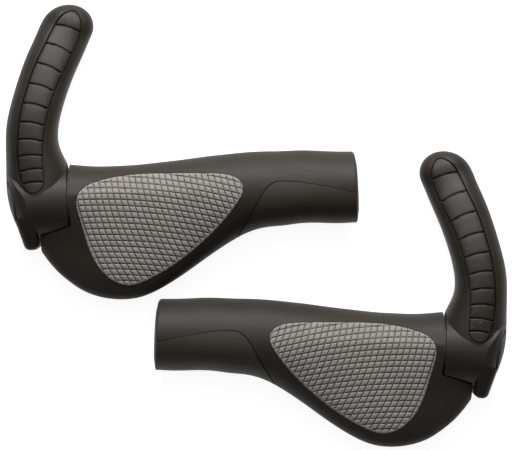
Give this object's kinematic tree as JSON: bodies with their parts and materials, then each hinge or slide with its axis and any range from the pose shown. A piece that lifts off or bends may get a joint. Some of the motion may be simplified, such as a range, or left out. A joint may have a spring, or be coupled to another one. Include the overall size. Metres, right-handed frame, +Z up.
{
  "type": "bar end grips",
  "caption": "Left and right ergonomic handlebar grips with winged palm rests and clamp-on curved bar ends, for a straight bicycle bar.",
  "frame": {"origin": "middle of the pair's footprint, on the surface they lie on", "axes": "+X to the right hand's side, +Y forwards (the way the horns point), +Z up, away from the surface they lie on"},
  "size_m": [0.227, 0.2016, 0.0326],
  "materials": {
    "grip_black": "matte",
    "palm_grey": "matte",
    "bar_end_composite": "satin",
    "horn_rubber": "matte",
    "sleeve_nylon": "matte",
    "screw_steel": "satin",
    "insert_brass": "satin"
  },
  "bodies": {
    "left_grip": {"left_bar_sleeve": "sleeve_nylon", "left_grip_rubber": "grip_black", "left_palm_pad": "palm_grey", "left_finger_saddle": "grip_black"},
    "left_bar_end": {"left_bar_end": "bar_end_composite", "left_horn_pad": "horn_rubber", "left_horn_finger_pad": "horn_rubber", "left_clamp_insert": "insert_brass"},
    "left_washer": {"left_clamp_washer": "screw_steel"},
    "left_screw": {"left_clamp_screw": "screw_steel"},
    "left_cap": {"left_end_cap": "bar_end_composite"},
    "right_grip": {"right_bar_sleeve": "sleeve_nylon", "right_grip_rubber": "grip_black", "right_palm_pad": "palm_grey", "right_finger_saddle": "grip_black"},
    "right_bar_end": {"right_bar_end": "bar_end_composite", "right_horn_pad": "horn_rubber", "right_horn_finger_pad": "horn_rubber", "right_clamp_insert": "insert_brass"},
    "right_washer": {"right_clamp_washer": "screw_steel"},
    "right_screw": {"right_clamp_screw": "screw_steel"},
    "right_cap": {"right_end_cap": "bar_end_composite"}
  },
  "joints": [
    {"name": "left_bar_end_swing", "type": "hinge", "parent": "left_grip", "child": "left_bar_end", "pos_m": [-0.0845, 0.01091, 0.0163], "axis": [0.9989, 0.0465, 0], "range_deg": [-45, 60]},
    {"name": "left_washer_travel", "type": "slide", "parent": "left_bar_end", "child": "left_washer", "axis": [0, 0, -1], "range_m": [0, 0.0016]},
    {"name": "left_screw_turn", "type": "hinge", "parent": "left_washer", "child": "left_screw", "pos_m": [-0.10219, -0.00694, 0.0088], "axis": [0, 0, -1], "range_deg": [0, 720]},
    {"name": "left_cap_pull", "type": "slide", "parent": "left_bar_end", "child": "left_cap", "axis": [-0.9989, -0.0465, 0], "range_m": [0, 0.012]},
    {"name": "right_grip_place", "type": "slide", "parent": "left_grip", "child": "right_grip", "axis": [0, 0, 1], "range_m": [0, 0.06]},
    {"name": "right_bar_end_swing", "type": "hinge", "parent": "right_grip", "child": "right_bar_end", "pos_m": [0.0845, -0.05609, 0.0163], "axis": [0.9989, -0.0465, 0], "range_deg": [-45, 60]},
    {"name": "right_washer_travel", "type": "slide", "parent": "right_bar_end", "child": "right_washer", "axis": [0, 0, -1], "range_m": [0, 0.0016]},
    {"name": "right_screw_turn", "type": "hinge", "parent": "right_washer", "child": "right_screw", "pos_m": [0.10219, -0.07394, 0.0088], "axis": [0, 0, -1], "range_deg": [0, 720]},
    {"name": "right_cap_pull", "type": "slide", "parent": "right_bar_end", "child": "right_cap", "axis": [0.9989, -0.0465, 0], "range_m": [0, 0.012]}
  ],
  "couplings": [
    {"joint": "left_screw_turn", "follows": "left_washer_travel", "rad_per_m": 7854},
    {"joint": "right_screw_turn", "follows": "right_washer_travel", "rad_per_m": 7854}
  ]
}
